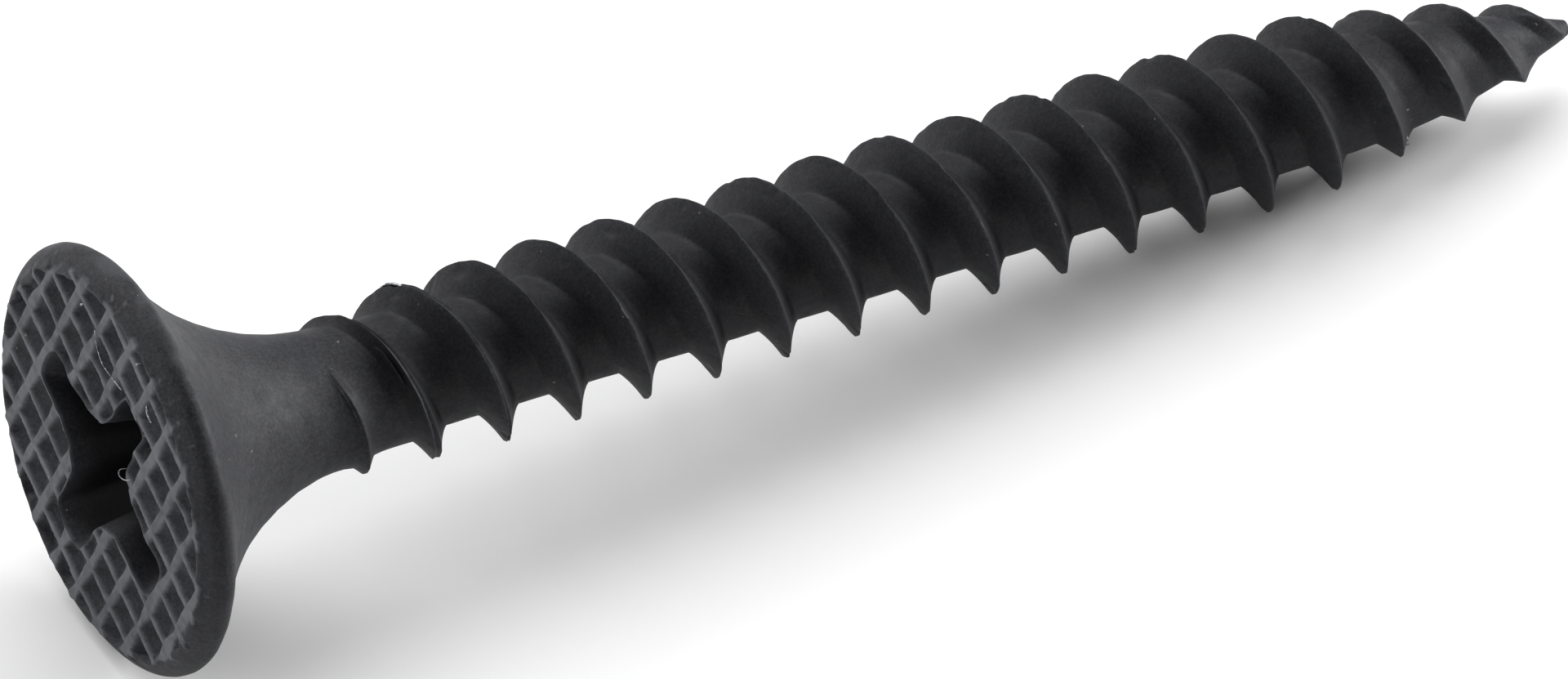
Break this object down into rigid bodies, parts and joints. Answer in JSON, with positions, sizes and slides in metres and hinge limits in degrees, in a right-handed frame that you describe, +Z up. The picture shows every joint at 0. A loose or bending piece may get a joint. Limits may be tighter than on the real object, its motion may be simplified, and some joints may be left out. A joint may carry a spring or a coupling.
{
  "type": "wood screw",
  "caption": "Black fine-thread screw for fixing board to studs, with a flared bugle head, a textured face, a cross-shaped driver recess and a sharp point.",
  "frame": {"origin": "centre of the bounding box in plan, on the surface the screw lies on", "axes": "+Z up; +X along the lying screw in plan, from the head towards the point; the axis slopes down towards the point by 5.56 degrees, because the head's rim and the last full crest both rest on the surface"},
  "size_m": [0.0322, 0.0084, 0.0084],
  "materials": {
    "black_phosphate": "dry dark grey-black phosphate coat on steel, satin"
  },
  "bodies": {
    "root": {"screw": "black_phosphate"}
  },
  "joints": []
}
